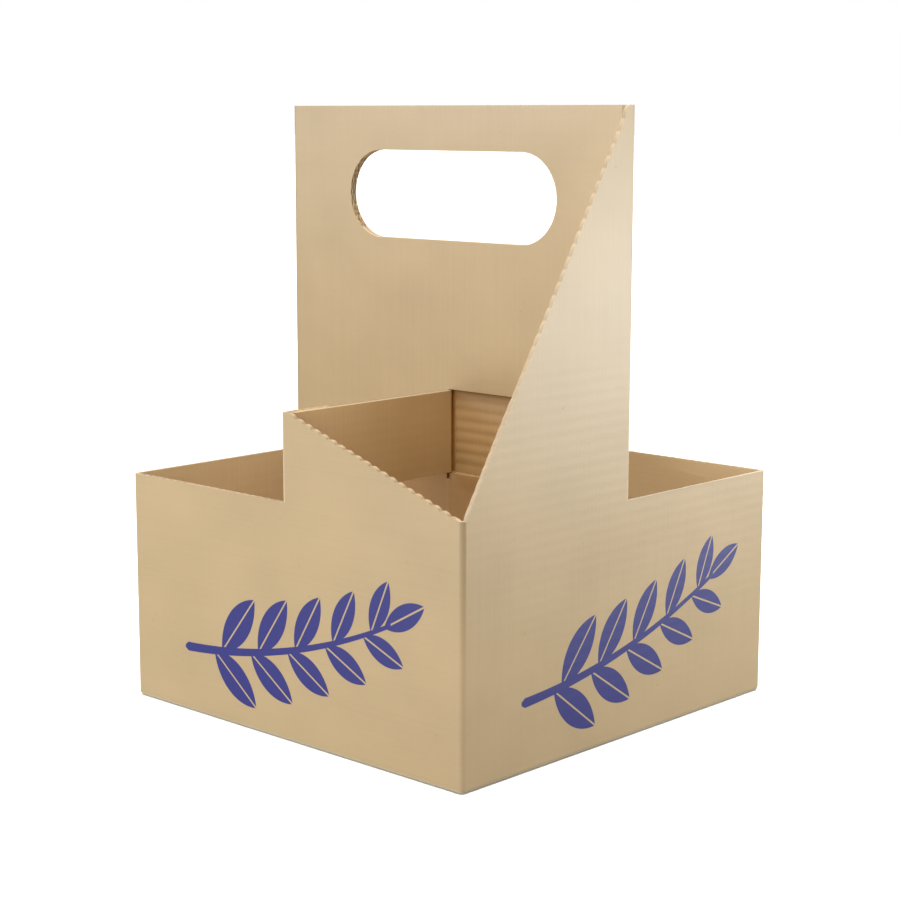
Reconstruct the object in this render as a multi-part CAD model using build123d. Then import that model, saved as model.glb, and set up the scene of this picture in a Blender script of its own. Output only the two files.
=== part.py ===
from build123d import *
import os

os.makedirs("parts", exist_ok=True)

# A four-cup carrier folded and glued from one die-cut blank of corrugated board.
# Frame: origin at the middle of the underside, +Z up. The handle stands in the
# plane X = 0 and the two straps lie in the plane Y = 0. The carrier looks the
# same after half a turn about Z, so one half is drawn and turned.

# The board
board = 1.8            # thickness of one ply
fold_inside = 0.4      # inside radius of every fold
flute_pitch = 4.7      # distance from one flute to the next
flute_rise = 0.9       # how far a flute stands out of a slanting cut edge
flute_relief = 0.22    # depth of the flute lines in a single ply

# The outside
side = 195.0           # width of the square base, both ways
rim_height = 99.3      # top of the low walls
corner_height = 105.7  # where the slanting edges start, at two corners
strap_top = 135.8      # top of the straps and of the low wings
handle_top = 256.5     # top of the handle and of the tall wings
low_tip = 4.0          # level edge at the tip of a low wing
tall_tip = 5.0         # level edge at the tip of a tall wing
base_fold = 2.0        # outside radius along the bottom edges

# The hand hole, round at both ends
hole_length = 120.0
hole_height = 38.0
hole_drop = 38.0       # from the top of the handle down to the middle of the hole

# Cuts, flaps and tabs inside
die_gap = 0.5          # gap along a cut between two parts of the blank
strap_flap = 24.0      # glue flap that holds a strap's end
wall_flap = 16.0       # glue flap that holds the far end of a handle ply
flap_fall = 2.0        # fall of the flap's slanting top for each millimetre of width
tab_width = 18.0       # glue tab inside each corner
tab_setback = 10.0     # how far a corner tab stays below the rim
tab_taper = 9.0        # fall of a tab's ends over its width
middle_lap = 1.2       # how far a divider runs past the centre line
hinge_fill = 0.45      # board left uncut at the straps' hinges
seam_width = 0.3       # line between two glued plies
seam_depth = 0.5

half = side / 2
wall = half - board / 2             # middle of a wall's thickness
inner = half - board                # inside face of a wall
ply = board / 2                     # middle of a handle ply
fold_middle = fold_inside + board / 2
fold_outside = fold_inside + board
corner = -half + fold_outside       # where a wall's flat part starts
cut_low = rim_height - die_gap / 2
cut_high = rim_height + die_gap / 2
window_end = wall - board - fold_middle
hole_middle = handle_top - hole_drop
groove_start = fold_outside + fold_inside   # the flute lines start beside the strap's hinge
air_top = handle_top + 1


def strip(points, bottom, top):
    """A standing strip of board that follows the points, with rounded folds."""
    path = FilletPolyline(*points, radius=fold_middle)
    return Pos(0, 0, bottom) * extrude(trace(path, board), top - bottom)


def block(low, high):
    """A box between two opposite corners."""
    size = [b - a for a, b in zip(low, high)]
    middle = [(a + b) / 2 for a, b in zip(low, high)]
    return Pos(*middle) * Box(*size)


def along_x(face, start, end):
    """A face drawn in Y and Z, pushed along X from start to end."""
    return Pos(start, 0, 0) * extrude(Plane.YZ * face, end - start)


def along_y(face, start, end):
    """A face drawn in X and Z, pushed along Y from start to end."""
    return Pos(0, start, 0) * extrude(Plane.XZ * face, start - end)


def fluted_line(start, end):
    """A slanting cut as a row of arcs, one for each flute that it crosses."""
    start, end = Vector(*start), Vector(*end)
    run = end - start
    count = round(max(run.X, run.Y) / flute_pitch)
    rise = Vector(-run.Y, run.X).normalized() * flute_rise
    arcs = []
    for i in range(count):
        a = start + run * (i / count)
        b = start + run * ((i + 1) / count)
        arcs.append(ThreePointArc(a, (a + b) / 2 + rise, b))
    return arcs


def air_over_wing(tip, top):
    """The empty area over a wing: level at the corner, then fluted up to the wing's tip."""
    foot = (corner, corner_height)
    outline = [Line((-half - 1, corner_height), foot)]
    outline += fluted_line(foot, (tip, top))
    outline += [
        Line((tip, top), (tip, air_top)),
        Line((tip, air_top), (-half - 1, air_top)),
        Line((-half - 1, air_top), (-half - 1, corner_height)),
    ]
    return make_face(outline)


def tray():
    """The floor and the four low walls."""
    outside = extrude(RectangleRounded(side, side, fold_outside), rim_height)
    outside = fillet(outside.faces().sort_by(Axis.Z)[0].edges(), base_fold)
    inside = RectangleRounded(2 * inner, 2 * inner, fold_inside)
    return outside - Pos(0, 0, board) * extrude(inside, rim_height)


def band():
    """Strap flap, low wing, corner, tall wing, handle ply and wall flap, above the rim."""
    standing = strip(
        [
            (-wall + strap_flap, ply),
            (-wall, ply),
            (-wall, -wall),
            (ply, -wall),
            (ply, wall - board),
            (ply + wall_flap, wall - board),
        ],
        rim_height,
        handle_top,
    )
    low_wing_air = air_over_wing(board - low_tip, strap_top)
    tall_wing_air = air_over_wing(board - tall_tip, handle_top)
    tip_air = block(
        (-half - 1, board - low_tip, strap_top),
        (-half + strap_flap + 1, 2 * board, air_top),
    )
    standing -= along_x(low_wing_air, -half - 1, corner)
    standing -= along_y(tall_wing_air, -half - 1, corner)
    return standing - tip_air


def divider():
    """The lower part of a handle ply, down to the floor, with the flap at its end."""
    return strip(
        [
            (ply, -middle_lap),
            (ply, wall - board),
            (ply + wall_flap, wall - board),
        ],
        board,
        rim_height,
    )


def strap():
    """The strap that is cut out of a ply and folded out at the middle of the handle."""
    reach = window_end - die_gap
    return strip([(ply, -2 * board), (ply, ply), (reach, ply)], cut_high, strap_top - die_gap)


def corner_tab(side_of_wall):
    """A glue tab on the inside of a wall, with slanting ends."""
    low, high = 2 * board, rim_height - tab_setback
    outline = Polyline(
        (-inner, low),
        (-inner + tab_width, low + tab_taper),
        (-inner + tab_width, high - tab_taper),
        (-inner, high),
        close=True,
    )
    depth = side_of_wall * inner
    return along_y(make_face(outline), *sorted((depth, depth - side_of_wall * board)))


def flap_air():
    """The empty area over the wall flap, which slants down from the handle."""
    start = ply + fold_middle
    end = ply + wall_flap + 1
    outline = Polyline(
        (start, air_top),
        (start, handle_top - board),
        (end, handle_top - board - (end - start) * flap_fall),
        (end, air_top),
        close=True,
    )
    return along_y(make_face(outline), inner - board, inner)


def flute_lines():
    """Shallow level grooves in the ply that shows behind a strap's window."""
    count = int((strap_top - rim_height) / flute_pitch)
    first = (strap_top + rim_height) / 2 - (count - 1) * flute_pitch / 2
    reach = 0.36 * flute_pitch
    grooves = []
    for i in range(count):
        level = first + i * flute_pitch
        low, high = (0, level - reach), (0, level + reach)
        bottom = (-flute_relief, level)
        outline = [Line(low, high), ThreePointArc(high, bottom, low)]
        grooves.append(along_y(make_face(outline), groove_start, window_end - 1))
    return grooves


def half_carrier():
    """Everything above the tray that half a turn repeats."""
    solid = band() + divider()
    solid -= block((0, 0, cut_low), (board, window_end, strap_top))
    solid -= block((0, -inner, cut_low), (board, 0, cut_high))
    solid -= flap_air()
    solid += strap()
    solid += block((0, window_end, board), (ply + fold_middle, inner, handle_top))
    for side_of_wall in (-1, 1):
        solid += corner_tab(side_of_wall)
    return solid


def hand_hole(extra, width):
    """The shape of the hand hole, grown by extra, for cutting across the handle."""
    slot = SlotOverall(hole_length + 2 * extra, hole_height + 2 * extra)
    return Pos(0, 0, hole_middle) * along_x(slot, -width / 2, width / 2)


def carrier():
    """The whole folded carrier, as one solid."""
    part = half_carrier()
    whole = tray() + part + part.rotate(Axis.Z, 180)
    whole += block(
        (-hinge_fill, -2 * hinge_fill, cut_low - 1),
        (hinge_fill, 2 * hinge_fill, strap_top + 1),
    )
    for groove in flute_lines():
        whole -= groove
        whole -= groove.rotate(Axis.Z, 180)
    whole -= hand_hole(0, 4 * board)
    whole -= hand_hole(seam_depth, seam_width)
    whole -= block(
        (-seam_width / 2, -inner, handle_top - seam_depth),
        (seam_width / 2, inner, air_top),
    )
    return whole


folded_carrier = carrier()
folded_carrier.label = "folded_carrier"
print("folded_carrier: solids", len(folded_carrier.solids()), "volume", round(folded_carrier.volume))
export_step(folded_carrier, "parts/folded_carrier.step")
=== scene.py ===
# %% [markdown]
# A carrier for four takeaway cups, folded and glued from one sheet of corrugated
# kraft board. The shape is already packed as one solid, so this lesson is about
# what makes board look like board: the open ends of the flutes along the cut
# edges, the two liners with their fibres, folds, ink and soft light.

import math

import bmesh
import bpy
from mathutils import Matrix, Vector


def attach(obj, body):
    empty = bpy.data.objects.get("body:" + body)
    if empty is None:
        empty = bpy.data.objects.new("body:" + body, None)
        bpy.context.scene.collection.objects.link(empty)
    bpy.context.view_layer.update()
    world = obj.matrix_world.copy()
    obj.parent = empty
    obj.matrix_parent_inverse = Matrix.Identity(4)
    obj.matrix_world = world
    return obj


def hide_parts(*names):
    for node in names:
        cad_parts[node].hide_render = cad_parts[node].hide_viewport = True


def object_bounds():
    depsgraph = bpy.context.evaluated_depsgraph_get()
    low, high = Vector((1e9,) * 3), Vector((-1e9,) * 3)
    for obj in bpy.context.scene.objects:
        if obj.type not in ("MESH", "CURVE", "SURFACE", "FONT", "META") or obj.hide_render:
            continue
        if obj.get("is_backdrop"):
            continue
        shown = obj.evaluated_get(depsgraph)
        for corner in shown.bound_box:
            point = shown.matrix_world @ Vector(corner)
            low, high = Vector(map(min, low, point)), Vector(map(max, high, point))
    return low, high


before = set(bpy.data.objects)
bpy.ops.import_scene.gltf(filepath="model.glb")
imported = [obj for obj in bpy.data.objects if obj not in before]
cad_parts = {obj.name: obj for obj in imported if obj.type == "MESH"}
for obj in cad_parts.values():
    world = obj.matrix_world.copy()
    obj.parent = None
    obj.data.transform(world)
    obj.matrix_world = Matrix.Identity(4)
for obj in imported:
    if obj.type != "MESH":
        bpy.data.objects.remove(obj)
cad_low, cad_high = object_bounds()
MM = 0.001
X, Y, Z = Vector((1, 0, 0)), Vector((0, 1, 0)), Vector((0, 0, 1))
print("packed nodes:", sorted(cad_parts), "box", cad_low[:], cad_high[:])

# %% [markdown]
# The camera stands where the photograph was taken from, a little above the rim
# and facing the front corner. Its place was worked out from the corners of the
# carrier, so it is written down as numbers. A camera placed by eye would drift
# every time that something else changes.

# %% Camera
turn = math.radians(43.2036)
dip = 0.166072
roll = math.radians(0.0964)
camera_place = Vector((-623.23, -584.72, 252.07)) * MM
forward = Vector((math.cos(turn) * math.cos(dip), math.sin(turn) * math.cos(dip), -math.sin(dip)))
level = Vector((math.sin(turn), -math.cos(turn), 0))
upright = level.cross(forward)
right = level * math.cos(roll) + upright * math.sin(roll)
up = upright * math.cos(roll) - level * math.sin(roll)

camera = bpy.data.objects.new("camera", bpy.data.cameras.new("camera"))
looks = Matrix((right, up, -forward)).transposed().to_4x4()
camera.matrix_world = Matrix.Translation(camera_place) @ looks
camera.data.sensor_width = 36
camera.data.lens = 79.711
camera.data.clip_start = 0.05
camera.data.clip_end = 50
bpy.context.scene.collection.objects.link(camera)
bpy.context.scene.camera = camera
print("camera at", camera_place[:], "lens", camera.data.lens)

# %% [markdown]
# The studio is a wide floor under a sky, and both look white to the camera. The
# light that they give is weak, and the sky's is warm. Four wide suns light the
# carrier from overhead, from the left and from behind. Soft panels at the right,
# at the left and above the front light the faces that look at them, most with a
# cool colour. Hard lights would draw shadows that the photograph doesn't have.

# %% Helper for objects
def add_object(name, bm):
    """Makes an object from a bmesh and frees the bmesh."""
    mesh = bpy.data.meshes.new(name)
    bm.to_mesh(mesh)
    bm.free()
    thing = bpy.data.objects.new(name, mesh)
    bpy.context.scene.collection.objects.link(thing)
    return thing


# %% Helpers for lights
def add_light(name, kind, shine, energy, colour):
    """Makes a light that shines along a direction."""
    data = bpy.data.lights.new(name, kind)
    data.energy = energy
    data.color = colour
    lamp = bpy.data.objects.new(name, data)
    lamp.rotation_euler = shine.to_track_quat("-Z", "Y").to_euler()
    bpy.context.scene.collection.objects.link(lamp)
    return lamp


def soft_light(name, place, aim, size, watts, colour):
    """A rectangular soft light at a place, turned to a point."""
    lamp = add_light(name, "AREA", Vector(aim) - Vector(place), watts, colour)
    lamp.location = place
    lamp.data.shape = "RECTANGLE"
    lamp.data.size, lamp.data.size_y = size


def soft_sun(name, toward, degrees, strength, colour):
    """A wide, soft sun that stands in a direction from the origin."""
    lamp = add_light(name, "SUN", -Vector(toward), strength, colour)
    lamp.data.angle = math.radians(degrees)


# %% Floor
FLOOR_BOUNCE = (0.1, 0.1, 0.1, 1)
FLOOR_SEEN = (0.94, 0.94, 0.94, 1)
floor_bm = bmesh.new()
bmesh.ops.create_grid(floor_bm, x_segments=1, y_segments=1, size=20)
floor = add_object("floor", floor_bm)
floor_material = bpy.data.materials.new("pale floor")
floor_material.use_nodes = True
floor_shader = floor_material.node_tree.nodes["Principled BSDF"]
bounce = floor_material.node_tree.nodes.new("ShaderNodeLightPath")
tint = floor_material.node_tree.nodes.new("ShaderNodeMix")
tint.data_type = "RGBA"
tint.inputs[6].default_value = FLOOR_BOUNCE
tint.inputs[7].default_value = FLOOR_SEEN
floor_material.node_tree.links.new(bounce.outputs["Is Camera Ray"], tint.inputs[0])
floor_material.node_tree.links.new(tint.outputs[2], floor_shader.inputs["Base Color"])
floor_shader.inputs["Roughness"].default_value = 0.9
floor_shader.inputs["Specular IOR Level"].default_value = 0.1
floor.data.materials.append(floor_material)
floor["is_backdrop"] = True
print("floor: seen as", FLOOR_SEEN[0], "but sends back", FLOOR_BOUNCE[0])

# %% Sky
world = bpy.data.worlds.new("studio")
bpy.context.scene.world = world
world.use_nodes = True
sky_tree = world.node_tree
fill = sky_tree.nodes["Background"]
fill.inputs["Color"].default_value = (1, 0.83, 0.68, 1)
fill.inputs["Strength"].default_value = 0.24
backdrop = sky_tree.nodes.new("ShaderNodeBackground")
backdrop.inputs["Color"].default_value = (1, 1, 1, 1)
backdrop.inputs["Strength"].default_value = 1.0
ray = sky_tree.nodes.new("ShaderNodeLightPath")
either = sky_tree.nodes.new("ShaderNodeMixShader")
sky_tree.links.new(ray.outputs["Is Camera Ray"], either.inputs[0])
sky_tree.links.new(fill.outputs[0], either.inputs[1])
sky_tree.links.new(backdrop.outputs[0], either.inputs[2])
sky_tree.links.new(either.outputs[0], sky_tree.nodes["World Output"].inputs["Surface"])
bpy.context.scene.view_settings.view_transform = "Standard"
print("sky: strength", round(fill.inputs["Strength"].default_value, 2))

# %% Lights
soft_light("right sheen", (0.62, -0.62, 0.13), (0.0, -0.1, 0.1), (0.44, 0.22), 3.95, (0.85, 0.96, 1))
soft_light("low right", (0.62, -0.62, 0.1), (0.0, -0.1, 0.15), (0.44, 0.14), 0.3, (1, 0.65, 0.4))
soft_light("low left", (-0.63, 0.13, 0.07), (0.0, 0.0, 0.06), (0.3, 0.12), 1.12, (0.9, 0.99, 1))
soft_light("left sheen", (-0.5, 0.48, 0.42), (0.0, 0.0, 0.3), (0.3, 0.3), 1.7, (0.53, 0.72, 1))
soft_light("front top", (-0.1, -0.25, 0.75), (0.0, -0.05, 0.1), (0.3, 0.3), 1.75, (0.89, 0.98, 1))
soft_light("front", (0.0, -0.45, 0.38), (0.06, -0.05, 0.08), (0.2, 0.2), 0.28, (0.75, 0.83, 1))
soft_sun("left glow", (-1, -0.35, 0.08), 34, 1.64, (1, 0.95, 0.88))
soft_sun("overhead", (0, 0, 1), 60, 5.15, (1, 0.97, 0.91))
soft_sun("back glow", (1, 0.6, 0.6), 50, 0.9, (1, 1, 1))
soft_sun("far glow", (-0.3, 1, 0.4), 50, 0.6, (1, 1, 1))
print("lights:", len(bpy.data.lights))

# %% [markdown]
# Corrugated board is a wave of paper between two flat liners. Where a cut
# crosses the wave, its ends stay open, and a row of small rounded pockets shows.
# Pockets painted on a flat edge look flat, so here they are real: one pocket is
# a short bar with a wave for one side, and copies of it are cut out of the board
# wherever the ends of the wave show. The sizes below are those of the packed
# shape, in millimetres, and the width and the height come from its box.

# %% Sizes of the board
BOARD = 1.8
PITCH = 4.7
LINER = 0.26
WAVE_PAPER = 0.24
POCKET_DEPTH = 1.5
POCKET_WIDTH = 0.96  # as a share of the pitch
PROUD = 2  # how far a bar sticks out of the cut edge
print("board:", BOARD, "thick, one flute each", PITCH)

# %% Sizes of the carrier
HALF = round(cad_high.x / MM, 1)
HANDLE_TOP = round(cad_high.z / MM, 1)
RIM = 99.3
CORNER_HEIGHT = 105.7
STRAP_TOP = 135.8
LOW_TIP = 2.2  # from the middle plane to the end of a low wing's slanting edge
TALL_TIP = 3.2  # the same on a tall wing
FOLD = 2.2  # outside radius of a fold
FOLD_MIDDLE = 1.3  # its radius in the middle of the ply
FLAT_END = HALF - FOLD
LOW_RUN = Vector((FLAT_END - LOW_TIP, STRAP_TOP - CORNER_HEIGHT))
TALL_RUN = Vector((FLAT_END - TALL_TIP, HANDLE_TOP - CORNER_HEIGHT))
print("carrier:", 2 * HALF, "wide,", HANDLE_TOP, "tall")

# %% Middles of the plies, and planes a little in front of their faces
PLY = BOARD / 2
WALL = HALF - PLY
GLUED = WALL - BOARD
PAST_HANDLE = 2.4
NEAR_FLAP = 93.8
NEAR_FOLD = 95.2
NEAR_WALL = 95.5
print("ply", PLY, "wall", WALL, "ply glued to a wall", round(GLUED, 2))


# %% One pocket of the wave
def pocket_bar():
    """A bar one unit long in Z and one unit wide in X, with a wave for its lower side."""
    bm = bmesh.new()
    bmesh.ops.create_grid(bm, x_segments=6, y_segments=1, size=0.5)
    flat = BOARD / 2 - LINER
    swing = flat - WAVE_PAPER / 2
    for v in bm.verts:
        low = v.co.y < 0
        wave = WAVE_PAPER / 2 - swing * math.cos(2 * math.pi * v.co.x)
        v.co.y = wave if low else flat
        v.co.x *= POCKET_WIDTH
    bmesh.ops.remove_doubles(bm, verts=bm.verts, dist=0.001)
    grown = bmesh.ops.extrude_face_region(bm, geom=bm.faces[:])
    ends = [v for v in grown["geom"] if isinstance(v, bmesh.types.BMVert)]
    bmesh.ops.translate(bm, verts=ends, vec=(0, 0, 1))
    bmesh.ops.recalc_face_normals(bm, faces=bm.faces[:])
    mesh = bpy.data.meshes.new("pocket bar")
    bm.to_mesh(mesh)
    bm.free()
    return mesh


POCKET = pocket_bar()
cutter_bm = bmesh.new()
print("pocket bar:", len(POCKET.vertices), "vertices")

# %% [markdown]
# A cut edge is given by its two ends in the middle of the board's thickness, by
# the way out of the board along the ridges of the wave, and by the way through
# its thickness. Pockets open to one liner and to the other by turns, half a
# pitch apart.

# %% Rows of pockets
def cut_pocket(mouth, out, through, length, step):
    """Adds one bar that ends at the mouth, is one step wide and reaches back into the board."""
    if out.cross(through).dot(step) < 0:
        step = -step
    turn_to = Matrix((step, through, out * length)).transposed().to_4x4()
    bar = POCKET.copy()
    bar.transform(Matrix.Translation(mouth - out * length) @ turn_to)
    cutter_bm.from_mesh(bar)
    bpy.data.meshes.remove(bar)


def cut_row(start, end, out, through):
    """Cuts pockets along a straight edge between two points in the board's middle."""
    start, end = Vector(start), Vector(end)
    run = end - start
    count = max(1, round((run - out * run.dot(out)).length / PITCH))
    for half_step in range(1, 2 * count):
        place = start + run * (half_step / (2 * count))
        side = 1 if half_step % 2 else -1
        cut_pocket(place + out * PROUD, out, through * side, PROUD + POCKET_DEPTH, run / count)
    return 2 * count - 1


# %% [markdown]
# The flutes stand upright in the two walls with the low wings and in the flaps
# and tabs that go on from them, and lie level in the other plies. So the pockets
# show in the rim of those walls and on top of their flaps and tabs, at the ends
# of the straps, along the windows that these leave, and on the dividers and the
# other glue flaps. The carrier looks the same after half a turn, so every row is
# cut twice.

# %% Ends of the cut edges
FLOOR_GAP = 3  # the rows inside start this high
RIM_START = 2
STRAP_FLAP_END = WALL - 24
STRAP_REACH = 93
WINDOW_END = GLUED - FOLD_MIDDLE
DIVIDER_END = 1.2
FLAP_END = PLY + 16
FLAP_SIDE_TOP = 221
FLAP_SLANT = (250.3, 221.3)  # the heights of its two ends
TAB_REACH = (95.5, 77.7)
TAB_SLANT = (89.2, 80.3)  # the heights at the two reaches
LOW, HIGH = RIM + 1, STRAP_TOP - 1
print("windows end at", round(WINDOW_END, 2), "and flaps at", FLAP_END)

# %% Pockets of one half, and the same after half a turn
made = 0
for s in (1, -1):
    made += cut_row((-s * WALL, s * RIM_START, RIM), (-s * WALL, s * FLAT_END, RIM), Z, X)
    strap_flap = s * PLY, STRAP_TOP
    made += cut_row((-s * FLAT_END, *strap_flap), (-s * STRAP_FLAP_END, *strap_flap), Z, Y)
    window = s * PLY, s * WINDOW_END
    made += cut_row((*window, LOW), (*window, HIGH), -s * Y, X)
    flap = s * FLAP_END, s * GLUED
    made += cut_row((*flap, FLOOR_GAP), (*flap, FLAP_SIDE_TOP), s * X, Y)
    made += cut_row((s * PAST_HANDLE, s * GLUED, FLAP_SLANT[0]), (*flap, FLAP_SLANT[1]), s * X, Y)
    divider = s * PLY, -s * DIVIDER_END
    made += cut_row((*divider, FLOOR_GAP), (*divider, RIM - 1), -s * Y, X)
    strap = s * STRAP_REACH, s * PLY
    made += cut_row((*strap, LOW), (*strap, HIGH), s * X, Y)
    for tab in (GLUED, -GLUED):
        start, end = [(-s * x, tab, z) for x, z in zip(TAB_REACH, TAB_SLANT)]
        made += cut_row(start, end, Z, Y)
print("pockets along straight edges:", made)

# %% [markdown]
# The photograph shows a small notch at the foot of a strap's hinge, where the cut
# under the strap ends at the fold. It is too small to matter for the packed
# shape, so it is cut here, as one small box with the finish of the pockets.

# %% The notch at each strap's hinge
NOTCH_SIZE = (1.6, 1.7, 3.4)
NOTCH_X, NOTCH_Y, NOTCH_Z = 1.1, 0.05, 98.1
for s in (1, -1):
    notch = bmesh.ops.create_cube(cutter_bm, size=1)["verts"]
    bmesh.ops.scale(cutter_bm, verts=notch, vec=NOTCH_SIZE)
    bmesh.ops.translate(cutter_bm, verts=notch, vec=(-s * NOTCH_X, -s * NOTCH_Y, NOTCH_Z))
print("notches:", 2)

# %% [markdown]
# The level flutes of the handle meet the hand hole in its round ends. Each bar
# starts where the hole is straight and ends a little inside the board, so its
# length follows the circle.

# %% Pockets in the round ends of the hand hole
HOLE_LENGTH, HOLE_HEIGHT, HOLE_MIDDLE = 120, 38, 218.5
HOLE_POCKET_DEPTH = 0.5
HOLE_HALF_STEPS = 6
hole_radius = HOLE_HEIGHT / 2
hole_straight = HOLE_LENGTH / 2 - hole_radius
start = hole_straight - 1
made = 0
for x in (PLY, -PLY):
    for end in (1, -1):
        for half_step in range(-HOLE_HALF_STEPS, HOLE_HALF_STEPS + 1):
            rise = half_step * PITCH / 2
            reach = hole_straight + math.sqrt(hole_radius**2 - rise**2)
            side = 1 if half_step % 2 else -1
            mouth = Vector((x, end * start, HOLE_MIDDLE + rise))
            cut_pocket(mouth, -end * Y, X * side, reach - start + HOLE_POCKET_DEPTH, PITCH * Z)
            made += 1
print("pockets in the hand hole:", made)

# %% [markdown]
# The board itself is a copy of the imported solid, which stays hidden behind it and
# isn't changed. The copy's triangles come loose, so they are joined at their
# corners. Pairs that lie in one plane then become one face, because long thin
# triangles beside a row of bumps would shade in zigzags.

# %% The bars as one object
bmesh.ops.recalc_face_normals(cutter_bm, faces=cutter_bm.faces[:])
bmesh.ops.scale(cutter_bm, verts=cutter_bm.verts[:], vec=(MM, MM, MM))
cutter = add_object("cutter", cutter_bm)
print("bars:", len(cutter.data.polygons), "faces")

# %% A copy of the board
SAME_POINT = 0.002 * MM
SAME_PLANE = math.radians(0.5)
board_bm = bmesh.new()
board_bm.from_mesh(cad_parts["folded_carrier"].data)
bmesh.ops.remove_doubles(board_bm, verts=board_bm.verts, dist=SAME_POINT)
bmesh.ops.join_triangles(
    board_bm,
    faces=board_bm.faces[:],
    angle_face_threshold=SAME_PLANE,
    angle_shape_threshold=math.pi,
)
print("board:", len(board_bm.verts), "vertices", len(board_bm.faces), "faces")

# %% [markdown]
# A slanting cut crosses the flutes, so it has a bump over each of them, and
# handling presses it. In the photograph the bumps are flatter and the edge lies
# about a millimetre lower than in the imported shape. Here the corners that are
# already there move, which adds no faces. A share says how far along the edge a
# corner lies, from 0 at the carrier's corner to 1 at the wing's tip.

# %% How a slanting edge gives way
CLOSE = 0.1
HIGHEST_BUMP = 1
TIP_SHARE = 0.9999
PAST_TIP = 1.0001


def pressed(place, run, kept, sag):
    """How far a point of a slanting edge gives way, along and up the wall, in millimetres."""
    out = Vector((-run.y, run.x)).normalized()
    share = place.dot(run) / run.length_squared
    bump = place.dot(out)
    if not (-CLOSE < bump < HIGHEST_BUMP and 0 < share < PAST_TIP):
        return Vector((0, 0))
    if share > TIP_SHARE:
        return Vector((-sag(1) / out.x, 0))
    return out * (bump * (kept(share) - 1) - sag(share))


def kept_low(share):
    """The part of a bump's height that stays on a low wing, the same all along."""
    return 0.85


def sag_low(share):
    """How far a low wing's edge sinks: less toward the tip, and little at both ends."""
    return (1.3 - 0.65 * share) * min(1, 0.6 + share * 20, (1 - share) * 25)


def kept_tall(share):
    """The part of a bump's height that stays on a tall wing, more from two fifths up."""
    return 0.2 + 0.35 * min(1, max(0, share * 16 - 5.8))


def sag_tall(share):
    """How far a tall wing's edge sinks: most in its upper half, and less at its tip."""
    return (0.1 + 1.1 * min(1, max(0, share - 0.2) * 3.3)) * min(1, 0.35 + (1 - share) * 15)


# %% Press the slanting edges
CORNER_START = 95.25
CORNER_SINK = 0.8
moved = 0
for v in board_bm.verts:
    ax, ay, up_wall = abs(v.co.x) / MM, abs(v.co.y) / MM, v.co.z / MM - CORNER_HEIGHT
    if v.co.x * v.co.y < 0 or max(ax, ay) < NEAR_WALL:
        continue
    if min(ax, ay) > CORNER_START and up_wall < CLOSE:
        v.co.z -= CORNER_SINK * MM if up_wall > -CLOSE else 0
        continue
    low = ax > ay
    place = Vector((FLAT_END - min(ax, ay), up_wall))
    if low:
        step = pressed(place, LOW_RUN, kept_low, sag_low) * MM
        v.co.y -= math.copysign(step.x, v.co.y)
    else:
        step = pressed(place, TALL_RUN, kept_tall, sag_tall) * MM
        v.co.x -= math.copysign(step.x, v.co.x)
    v.co.z += step.y
    moved += step.length > 0
print("corners moved on the slanting edges:", moved)

# %% [markdown]
# The glue flap at the far end of a handle ply lies behind the tall wing. Its top
# slants too, just below the edge that has sunk, so it is lowered as well.

# %% Lower the top of the glue flaps
FLAP_TOP = HANDLE_TOP - BOARD
FLAP_START = PLY + FOLD_MIDDLE
FLAP_FALL = 2
FLAP_SINK = 4
FLAP_BACK = NEAR_WALL + 0.25
moved = 0
for v in board_bm.verts:
    ax, ay, az = [abs(value) / MM for value in v.co]
    off_slant = az - FLAP_TOP + FLAP_FALL * (ax - FLAP_START)
    on_flap = FLAP_START - CLOSE < ax < FLAP_END + CLOSE and NEAR_FLAP < ay < FLAP_BACK
    if on_flap and abs(off_slant) < CLOSE:
        v.co.z -= FLAP_SINK * MM
        moved += 1
carrier = add_object("corrugated_carrier", board_bm)
print("corners moved on the glue flaps:", moved)

# %% [markdown]
# One Boolean cuts all the bars out of the board. The exact solver is the slow
# one, but it copes with bars that only just meet a face. The bars have the
# finish of an open flute, and the walls of each pocket take it from them.

# %% Cut the pockets
OUTSIDE, INSIDE, MIDDLE, EDGE, FLUTE = range(5)
FINISHES = ("kraft outside", "kraft inside", "kraft middle", "cut edge", "open flute")
finishes = [bpy.data.materials.new(name) for name in FINISHES]
for material in finishes:
    carrier.data.materials.append(material)
    cutter.data.materials.append(material)
for face in cutter.data.polygons:
    face.material_index = FLUTE
boolean = carrier.modifiers.new("open flutes", "BOOLEAN")
boolean.operation = "DIFFERENCE"
boolean.solver = "EXACT"
boolean.object = cutter
graph = bpy.context.evaluated_depsgraph_get()
cut_mesh = bpy.data.meshes.new_from_object(carrier.evaluated_get(graph))
carrier.modifiers.clear()
carrier.data = cut_mesh
cut_mesh.name = "corrugated_carrier"
bpy.data.objects.remove(cutter)
print("cut board:", len(cut_mesh.vertices), "vertices", len(cut_mesh.polygons), "faces")

# %% [markdown]
# One sheet has three kinds of surface: the printed outside liner, the inside
# liner and the cut edges. Where the inside liner shows on the plies in the
# middle it lies in deeper shade, so it has a finish of its own there, with that
# shade painted into its colour. Which is which follows from how the sheet is
# folded, so each face is sorted by where it is and which way it looks.

# %% Kinds of surface
FLOOR_TOP = 2.2
HOLE_REACH = 20
SEAM_REACH = 2
HINGE_REACH = 3
SINGLE_PLY = 1.4
NEAR_EDGE = 95
SLANT_START = 100
FLAP_ZONE = 20
TURNED = 0.5  # a normal's part along an axis when a face is 60 degrees off it


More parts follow.
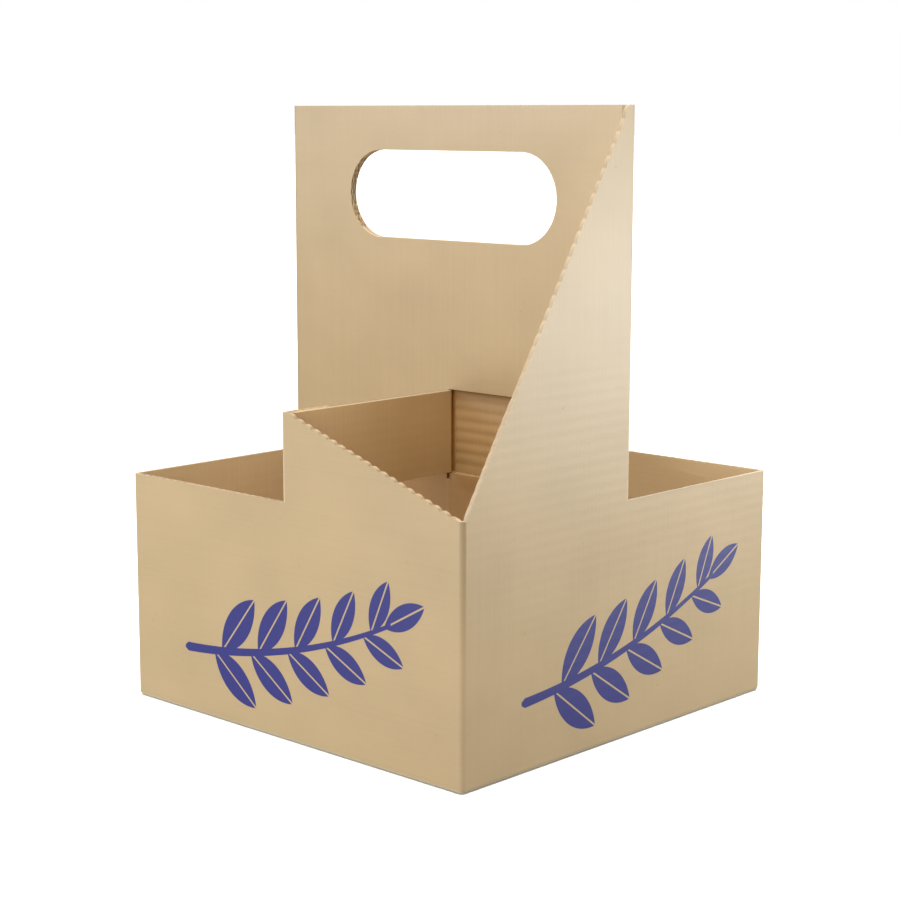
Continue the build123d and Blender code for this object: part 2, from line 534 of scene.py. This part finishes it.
def kind_of(c, n):
    """The surface that a face belongs to, from its middle in millimetres and its normal."""
    ax, ay = abs(c.x), abs(c.y)
    away = n.x * c.x + n.y * c.y > 0
    if c.z < FLOOR_TOP:
        return INSIDE if n.z > TURNED and max(ax, ay) < FLAT_END else OUTSIDE
    if ax < SEAM_REACH and abs(n.x) < TURNED and abs(c.z - HOLE_MIDDLE) < HOLE_REACH:
        return FLUTE if n.z > 0.3 else INSIDE
    if ax < PAST_HANDLE and abs(n.z) > TURNED and c.z < RIM:
        return MIDDLE
    if abs(n.z) > TURNED or (abs(n.z) > 0.2 and c.z > SLANT_START and max(ax, ay) > NEAR_EDGE):
        return EDGE
    at_hinge = ax < PAST_HANDLE and ay < HINGE_REACH and RIM - 1 < c.z < STRAP_TOP
    if at_hinge and abs(n.x) < 0.95:
        return MIDDLE if n.y * c.x > 0 else OUTSIDE
    if ax > NEAR_FOLD and ay > NEAR_FOLD:
        return OUTSIDE if away else INSIDE
    if ax > NEAR_WALL:
        return EDGE if abs(n.x) < TURNED else OUTSIDE if away else INSIDE
    if ay > NEAR_WALL:
        return EDGE if abs(n.y) < TURNED else OUTSIDE if away else INSIDE
    if ay > NEAR_FLAP and ax > PAST_HANDLE:
        return EDGE if abs(n.y) < TURNED else OUTSIDE if ax < FLAP_ZONE else INSIDE
    if ax < PAST_HANDLE:
        outer = ax > SINGLE_PLY and c.z > RIM - 1
        return EDGE if abs(n.x) < TURNED else OUTSIDE if outer else MIDDLE
    if ay < PAST_HANDLE:
        return EDGE if abs(n.y) < TURNED else MIDDLE if n.y * c.x > 0 else OUTSIDE
    return OUTSIDE


# %% [markdown]
# One pass over the faces sorts them and writes where each lies on the sheet:
# along and across the flutes for the grain, and along and up the wall for the
# print, which is kept off every other face. Two more numbers go with the
# corners of the faces. One is fold: 1 on a rounded fold, whose lighter tone is
# partly wear and partly a painted highlight, but -1 for painted shade at the front
# corner, which is darker in the photograph, and at the one opposite. The other
# goes with the slanting edges: painted highlights and shade on the cut paper of
# their bumps.

# %% Sort the faces
OUTER_FACE = 97
SHADED_CORNER = 0.009  # x times y, in square metres
FOLD_FOOT = 3
NOWHERE = (9, 9)
LOW_FLUTES = round(LOW_RUN.x / PITCH)
sorted_bm = bmesh.new()
sorted_bm.from_mesh(carrier.data)
grain = sorted_bm.loops.layers.uv.new("grain")
print_place = sorted_bm.loops.layers.uv.new("print place")
fold = sorted_bm.loops.layers.float.new("fold")
bead_painted_light_shade = sorted_bm.loops.layers.float.new("bead_painted_light_shade")
counts = [0] * len(finishes)
for face in sorted_bm.faces:
    middle = face.calc_center_median() / MM
    n = face.normal
    if face.material_index != FLUTE:
        face.material_index = kind_of(middle, n)
    counts[face.material_index] += 1
    on_x_wall = abs(middle.x) > NEAR_FOLD and abs(n.x) > TURNED
    on_y_wall = abs(middle.y) > OUTER_FACE and n.y * middle.y > 0 and abs(n.y) > 0.9
    folded = face.material_index == OUTSIDE and max(abs(n.x), abs(n.y), abs(n.z)) < 0.98
    beaded = face.material_index == EDGE and middle.z > CORNER_HEIGHT
    for loop in face.loops:
        p = loop.vert.co
        if on_x_wall:
            loop[grain].uv = (p.z, p.y)
        elif abs(n.z) > 0.7:
            loop[grain].uv = (p.x, p.y)
        else:
            loop[grain].uv = (p.x + p.y, p.z)
        if on_x_wall and n.x * middle.x > 0:
            loop[print_place].uv = (math.copysign(1, n.x) * p.y, p.z)
        elif on_y_wall:
            loop[print_place].uv = (-math.copysign(1, n.y) * p.x, p.z)
        else:
            loop[print_place].uv = NOWHERE
        # fold: 1 for a light tone, partly wear and partly a painted highlight; -1 for painted shade
        if folded:
            in_shade = p.x * p.y > SHADED_CORNER and p.z > FOLD_FOOT * MM
            loop[fold] = -1.0 if in_shade else 1.0
        # these numbers paint shade that comes and goes with the bumps of the low edges, and on the
        # tall edges light high up and shade lower down
        if beaded and abs(middle.x) > NEAR_WALL and middle.x * middle.y > 0:
            along = (FLAT_END - abs(p.y) / MM) / LOW_RUN.x
            loop[bead_painted_light_shade] = -0.3 - 0.7 * math.cos(math.pi * LOW_FLUTES * along) ** 2
        elif beaded and abs(middle.y) > NEAR_WALL:
            loop[bead_painted_light_shade] = 0.15 - 0.35 * min(1, max(0, 3.8 - p.z / MM / 50))
sorted_bm.to_mesh(carrier.data)
sorted_bm.free()
print("faces outside, inside, middle, edge, flute:", counts)

# %% [markdown]
# Board bends in a curve at a fold and is flat everywhere else. Smooth shading
# alone would bend the light on the flat panels too, so big faces get more weight
# in the normals than the narrow ones of a fold.

# %% Smooth folds, flat panels
SHARP = math.radians(35)
carrier.data.shade_smooth()
carrier.data.set_sharp_from_angle(angle=SHARP)
weight = carrier.modifiers.new("flat panels stay flat", "WEIGHTED_NORMAL")
weight.keep_sharp = True
print("sharp edges:", sum(edge.use_edge_sharp for edge in carrier.data.edges))

# %% [markdown]
# Shader maths reads best as sums. A small class wraps a socket, so that an
# expression such as 1 - mask adds its own Math node, and one method makes any
# other node from its settings and its inputs.

# %% Sums of sockets
class Wire:
    """A socket that takes part in sums."""

    def __init__(self, finish, socket):
        self.finish = finish
        self.socket = socket

    def math(self, operation, *others, clamp=False):
        """A Math node that has this socket for its first value."""
        settings = {"operation": operation, "use_clamp": clamp}
        return self.finish.node("ShaderNodeMath", settings, dict(enumerate((self, *others))))

    def rise(self, start, end):
        """0 at the start, 1 at the end and even between them. The start may be the greater."""
        scale = 1 / (end - start)
        return self.math("MULTIPLY_ADD", scale, -start * scale, clamp=True)

    def __add__(self, other):
        return self.math("ADD", other)

    def __sub__(self, other):
        return self.math("SUBTRACT", other)

    def __rsub__(self, other):
        settings = {"operation": "SUBTRACT"}
        return self.finish.node("ShaderNodeMath", settings, {0: other, 1: self})

    def __mul__(self, other):
        return self.math("MULTIPLY", other)

    __radd__ = __add__


class Finish:
    """A material in the making, with its Principled shader."""

    def __init__(self, material):
        material.use_nodes = True
        self.tree = material.node_tree
        self.shader = self.tree.nodes["Principled BSDF"]

    def node(self, kind, settings=None, inputs=None, output=0):
        """Adds a node: its settings first, then the values or links of its sockets."""
        made = self.tree.nodes.new(kind)
        for key, value in (settings or {}).items():
            setattr(made, key, value)
        for key, value in (inputs or {}).items():
            self.feed(made.inputs[key], value)
        return Wire(self, made.outputs[output])

    def feed(self, socket, value):
        """Links a wire to a socket, or sets the socket's own value."""
        if isinstance(value, Wire):
            self.tree.links.new(value.socket, socket)
        else:
            socket.default_value = (*value, 1) if socket.type == "RGBA" else value

    def set(self, **values):
        """Feeds the Principled shader. Underscores stand for spaces."""
        for key, value in values.items():
            self.feed(self.shader.inputs[key.replace("_", " ")], value)

    def mix(self, share, first, second):
        """A colour between two others."""
        inputs = {0: share, 6: first, 7: second}
        return self.node("ShaderNodeMix", {"data_type": "RGBA"}, inputs, 2)

    def stretched(self, place, scale):
        """Coordinates with a scale of their own on each axis."""
        return self.node("ShaderNodeMapping", None, {"Vector": place, "Scale": scale})

    def noise(self, place, detail=2.0, roughness=0.5):
        """Noise around 0, mostly from -0.25 to 0.25."""
        inputs = {"Vector": place, "Scale": 1.0, "Detail": detail, "Roughness": roughness}
        return self.node("ShaderNodeTexNoise", None, inputs) - 0.5


# %% [markdown]
# Kraft paper is never one brown. It has soft cloudy patches a few centimetres
# wide, streaks along the way that the paper ran through the machine, short
# fibres, and here and there a dark speck. The streaks cross the flutes, because
# board is made that way. Each of these is one noise with its own stretch, given
# as how many patches a metre has. All are faint, since the photograph shows them
# only when one looks closely.

# %% The look of paper
def paper(finish, colour, streaks, washboard, rough=0.45):
    """Roughness and bump of kraft paper, made at once. Returns its colour as a wire."""
    solid = finish.node("ShaderNodeTexCoord", output="Object")
    sheet = finish.node("ShaderNodeUVMap", {"uv_map": "grain"})
    cloud = finish.noise(finish.stretched(solid, (22, 22, 30)), 3.0)
    streak = finish.noise(finish.stretched(sheet, (800, 9, 1)), 2.0)
    fibre = finish.noise(finish.stretched(sheet, (2600, 700, 1)), 3.0, 0.65)
    speck = finish.noise(finish.stretched(solid, (520, 520, 520)), 1.0)
    tone = cloud * 0.22 + streak * streaks + fibre * 0.1
    bright = (tone + 1).math("MAXIMUM", 0.0)
    dark = ((speck - 0.29) * 8).math("MINIMUM", 0.16, clamp=True)
    inputs = {0: colour, "Scale": bright * (1 - dark)}
    shade = finish.node("ShaderNodeVectorMath", {"operation": "SCALE"}, inputs)
    across = finish.node("ShaderNodeSeparateXYZ", None, {0: sheet}, 1)
    ridge = (across * (2 * math.pi / (PITCH * MM))).math("SINE")
    height = ridge * washboard + fibre * 0.03 + streak * 0.03 + cloud * 0.1
    bump = finish.node("ShaderNodeBump", None, {"Strength": 1.0, "Distance": MM, "Height": height})
    finish.set(Roughness=fibre * 0.12 + rough, Normal=bump)
    return shade


# %% [markdown]
# The print is a leaf sprig in blue ink. A leaf is the part that two circles
# share, so it needs only two distances, and folding the leaf over its own middle
# line makes that one. The stem is part of a big ring. Ink lies in the paper, so
# it takes on a little of the paper's grain.

# %% The leaf sprig
STEM_RADIUS = 331.0
STEM_MIDDLE = (-80.5, 359.0)
STEM_START = -64
STEM_END = 60
LEAF_PAIRS = 5
FIRST_PAIR, NEXT_PAIR = -83.4, 4.0
LEAF_LENGTH, LEAF_LOSS = 33, 2.2
LEAF_FULLNESS = 0.42
LEAF_SPREAD = math.radians(44)
LEAF_SHIFT = 2.5
TIP_PLACE, TIP_TURN, TIP_LENGTH, TIP_WIDTH = -65.6, 0.08, 25, 10
SOFT = 0.12


def stem_at(degrees):
    """The point of the stem at an angle of its ring, and the way that the stem runs there."""
    bend = math.radians(degrees)
    point = Vector(STEM_MIDDLE) + STEM_RADIUS * Vector((math.cos(bend), math.sin(bend)))
    return point, bend + math.pi / 2


def distance(finish, place, centre):
    """The distance of a place from a point, as a wire."""
    inputs = {0: place, 1: centre}
    return finish.node("ShaderNodeVectorMath", {"operation": "DISTANCE"}, inputs, "Value")


def leaf_mask(finish, place, base, angle, length, width):
    """1 inside a leaf that starts at its base and points along the angle."""
    radius = (length**2 + width**2) / (4 * width)
    middle = Vector(base) + Vector((math.cos(angle), math.sin(angle))) * length / 2
    moved = finish.node(
        "ShaderNodeMapping",
        {"vector_type": "TEXTURE"},
        {"Vector": place, "Location": (middle.x * MM, middle.y * MM, 0), "Rotation": (0, 0, angle)},
    )
    folded = finish.node("ShaderNodeVectorMath", {"operation": "ABSOLUTE"}, {0: moved})
    centre = (0, -(radius - width / 2) * MM, 0)
    away = distance(finish, folded, centre)
    beside = finish.node("ShaderNodeSeparateXYZ", None, {0: folded}, 1)
    return away.rise(radius * MM, (radius - SOFT) * MM) * beside.rise(0.3 * MM, (0.3 + SOFT) * MM)


def sprig_mask(finish):
    """1 where the print's ink lies."""
    place = finish.node("ShaderNodeUVMap", {"uv_map": "print place"})
    flat = finish.node("ShaderNodeVectorMath", {"operation": "MULTIPLY"}, {0: place, 1: (1, 1, 0)})
    centre = (STEM_MIDDLE[0] * MM, STEM_MIDDLE[1] * MM, 0)
    off_line = (distance(finish, flat, centre) - STEM_RADIUS * MM).math("ABSOLUTE")
    u = finish.node("ShaderNodeSeparateXYZ", None, {0: flat}, 0)
    thick = (0.9 * MM + (0.062 - u).math("MAXIMUM", 0.0) * 0.009) * u.rise(-65 * MM, -62 * MM)
    stem = (thick - off_line).rise(0.0, SOFT * MM)
    first, last = STEM_START * MM, STEM_END * MM
    mask = stem * u.rise(first, first + 0.1 * MM) * u.rise(last, last - 0.1 * MM)
    for along in range(LEAF_PAIRS):
        point, heading = stem_at(FIRST_PAIR + along * NEXT_PAIR)
        length = LEAF_LENGTH - along * LEAF_LOSS
        width = LEAF_FULLNESS * length
        for side in (1, -1):
            start = point + Vector((math.cos(heading), math.sin(heading))) * side * LEAF_SHIFT
            leaf = leaf_mask(finish, flat, start, heading + side * LEAF_SPREAD, length, width)
            mask = mask.math("MAXIMUM", leaf)
    point, heading = stem_at(TIP_PLACE)
    tip = leaf_mask(finish, flat, point, heading + TIP_TURN, TIP_LENGTH, TIP_WIDTH)
    return mask.math("MAXIMUM", tip)


# %% [markdown]
# Light inside a box of brown board comes out browner and darker with every
# bounce, more than the soft lights here show. So in the places where that
# matters, light and shade are painted into the colour: painted shade in the
# crease beside each strap, a painted shadow on the ply behind its window, painted
# light at the strap's far end, and painted shade on the dividers below the rim and
# at the foot of the handle. The fold at the foot of the walls gets painted light
# instead. Each place is a mask made from the distances to the middle planes and
# from the height.

# %% Places with painted light and shade
def place_of(finish):
    """The distances from the two middle planes and the height, as three wires."""
    solid = finish.node("ShaderNodeTexCoord", output="Object")
    folded = finish.node("ShaderNodeVectorMath", {"operation": "ABSOLUTE"}, {0: solid})
    return [finish.node("ShaderNodeSeparateXYZ", None, {0: folded}, axis) for axis in range(3)]


def crease_painted_shade_mask(place):
    """1 where shade is painted, where a strap's fold meets the ply behind it, in the middle of the
    carrier.
    """
    x, y, z = place
    off_x, off_y = x - 0.4 * MM, y - 0.8 * MM
    away = (off_x * off_x + off_y * off_y).math("SQRT")
    return away.rise(2.2 * MM, 0.95 * MM) * z.rise(96.2 * MM, 96.45 * MM)


def window_painted_shadow(place):
    """1 where a shadow is painted on the ply behind a strap's window, close under the window's upper
    edge.
    """
    x, y, z = place
    upper = z.rise(131.5 * MM, 135.85 * MM)
    return x.rise(0.6 * MM, 0.4 * MM) * upper * upper


def strap_end_painted_light_mask(place):
    """1 where light is painted at a strap's far end, where less of the brown handle shines onto it.
    """
    return place[0].rise(30 * MM, 80 * MM)


def divider_painted_shade_mask(place):
    """1 where shade is painted below the straps, where only brown board is around."""
    return place[2].rise(98.7 * MM, 97.6 * MM)


def handle_foot_painted_shade_mask(place):
    """1 where shade is painted at the foot of the handle, fading out upward."""
    x, y, z = place
    return x.rise(2.5 * MM, 2.3 * MM) * y.rise(95.6 * MM, 95.2 * MM) * z.rise(215 * MM, 138 * MM)


def base_fold_painted_light_mask(place):
    """1 where light is painted on the rounded fold at the foot of the walls, but not on the
    underside.
    """
    x, y, z = place
    return z.rise(1.8 * MM, 0.6 * MM) * x.math("MAXIMUM", y).rise(95.3 * MM, 95.7 * MM)


# %% [markdown]
# The outside liner is the smoothest paper and has a faint shine. Its folds are
# lighter than its panels, partly from wear and partly as a painted highlight, but
# shade is painted on the front corner and the one opposite. Shade is also painted
# at the foot of the handle, and light on the fold at the foot of the walls. Ink
# covers the liner where the print lies.

# %% The outside liner
KRAFT_OUTSIDE = (0.49, 0.355, 0.197)
# painted shade: the handle's outside liner is darker toward its foot
HANDLE_FOOT_PAINTED_SHADE = (0.425, 0.305, 0.163)
# a light tone for the folds, partly wear and partly a painted highlight, then painted shade for the
# front corner's fold
FOLD_WEAR_AND_PAINTED_LIGHT = (0.47, 0.37, 0.25)
FOLD_PAINTED_SHADE = (0.33, 0.235, 0.135)
# painted light: the fold at the foot of the walls gets little light from the floor, so its colour is
# made lighter
BASE_FOLD_PAINTED_LIGHT = (1.0, 0.84, 0.58)
INK = (0.0135, 0.019, 0.186)
INK_COVER = 0.96
outside = Finish(finishes[OUTSIDE])
place = place_of(outside)
fold_mark = outside.node("ShaderNodeAttribute", {"attribute_name": "fold"}, output="Fac")
# painted shade at the foot of the handle
kraft = outside.mix(handle_foot_painted_shade_mask(place), KRAFT_OUTSIDE, HANDLE_FOOT_PAINTED_SHADE)
# light on the folds, partly wear and partly painted highlight, and painted shade at the front corner
# and the one opposite
kraft = outside.mix(fold_mark * 0.3, kraft, FOLD_WEAR_AND_PAINTED_LIGHT)
kraft = outside.mix(fold_mark * -0.6, kraft, FOLD_PAINTED_SHADE)
# painted light on the fold at the foot of the walls
kraft = outside.mix(base_fold_painted_light_mask(place), kraft, BASE_FOLD_PAINTED_LIGHT)
shade = paper(outside, kraft, 0.07, 0.006, 0.42)
shade = outside.mix(sprig_mask(outside) * INK_COVER, shade, INK)
outside.set(Base_Color=shade, Specular_IOR_Level=0.55)
print("finish:", FINISHES[OUTSIDE])

# %% [markdown]
# The inside liner has stronger streaks, and the flutes press through it more, as
# a faint washboard. Light is painted onto the inside of two of the walls, which
# makes them lighter, as the photograph shows them.

# %% The inside liner
KRAFT_INSIDE = (0.535, 0.392, 0.23)
# painted light: the inside of the two walls at the ends of X is made lighter
SIDE_INSIDE_PAINTED_LIGHT = (0.63, 0.5, 0.315)
inside = Finish(finishes[INSIDE])
side_painted_light_mask = place_of(inside)[0].rise(94 * MM, 95 * MM)
kraft = inside.mix(side_painted_light_mask, KRAFT_INSIDE, SIDE_INSIDE_PAINTED_LIGHT)
inside.set(Base_Color=paper(inside, kraft, 0.12, 0.012))
print("finish:", FINISHES[INSIDE])

# %% [markdown]
# One face of each strap, the dividers and the ply behind each window show the
# same inside liner, but light reaches them only by way of other brown board. So
# shade is painted into their brown, darkest where the masks say that least light
# comes, and light is painted at the strap's far end.

# %% The plies in the middle
# painted shade: the inside liner made darker where it shows on the middle plies
KRAFT_MIDDLE_PAINTED_SHADE = (0.42, 0.27, 0.125)
# painted light at a strap's far end
STRAP_END_PAINTED_LIGHT = (0.53, 0.365, 0.195)
# painted shade on the dividers below the straps
DIVIDER_PAINTED_SHADE = (0.41, 0.25, 0.11)
# painted shade in the crease at each strap's hinge
CREASE_PAINTED_SHADE = (0.29, 0.135, 0.03)
# a painted shadow under each window's upper edge, on the ply behind it
WINDOW_PAINTED_SHADOW = (0.11, 0.04, 0.008)
middle_ply = Finish(finishes[MIDDLE])
place = place_of(middle_ply)
kraft = middle_ply.mix(strap_end_painted_light_mask(place), KRAFT_MIDDLE_PAINTED_SHADE, STRAP_END_PAINTED_LIGHT)
kraft = middle_ply.mix(divider_painted_shade_mask(place), kraft, DIVIDER_PAINTED_SHADE)
kraft = middle_ply.mix(crease_painted_shade_mask(place), kraft, CREASE_PAINTED_SHADE)
kraft = middle_ply.mix(window_painted_shadow(place) * 0.75, kraft, WINDOW_PAINTED_SHADOW)
middle_ply.set(Base_Color=paper(middle_ply, kraft, 0.12, 0.012))
print("finish:", FINISHES[MIDDLE])

# %% [markdown]
# A cut shows the ends of the paper, darker than its face and a little greyer.
# Along the slanting edges, light and shade are painted onto the pressed bumps,
# as the number on the corners of their faces says. The paper inside the open
# flutes is browner.

# %% Cut edges and open flutes
CUT_PAPER = (0.355, 0.263, 0.157)
# a painted highlight and a painted shade for the bumps of the slanting edges
BEAD_PAINTED_LIGHT = (0.47, 0.37, 0.25)
BEAD_PAINTED_SHADE = (0.21, 0.14, 0.07)
POCKET_PAPER = (0.37, 0.255, 0.135)
edge = Finish(finishes[EDGE])
bead_light_shade_marks = edge.node("ShaderNodeAttribute", {"attribute_name": "bead_painted_light_shade"}, output="Fac")
kraft = edge.mix(bead_light_shade_marks, CUT_PAPER, BEAD_PAINTED_LIGHT)
kraft = edge.mix(bead_light_shade_marks * -1, kraft, BEAD_PAINTED_SHADE)
edge.set(Base_Color=paper(edge, kraft, 0.2, 0.0))

flute = Finish(finishes[FLUTE])
# the same painted shade in the notch at each strap's hinge
kraft = flute.mix(crease_painted_shade_mask(place_of(flute)), POCKET_PAPER, CREASE_PAINTED_SHADE)
flute.set(Base_Color=paper(flute, kraft, 0.12, 0.0))
print("finishes:", FINISHES[EDGE], "and", FINISHES[FLUTE])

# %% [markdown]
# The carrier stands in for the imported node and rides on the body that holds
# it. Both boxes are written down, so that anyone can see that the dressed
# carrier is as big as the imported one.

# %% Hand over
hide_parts("folded_carrier")
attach(carrier, "root")
low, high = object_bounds()
print("visual box", low[:], high[:])
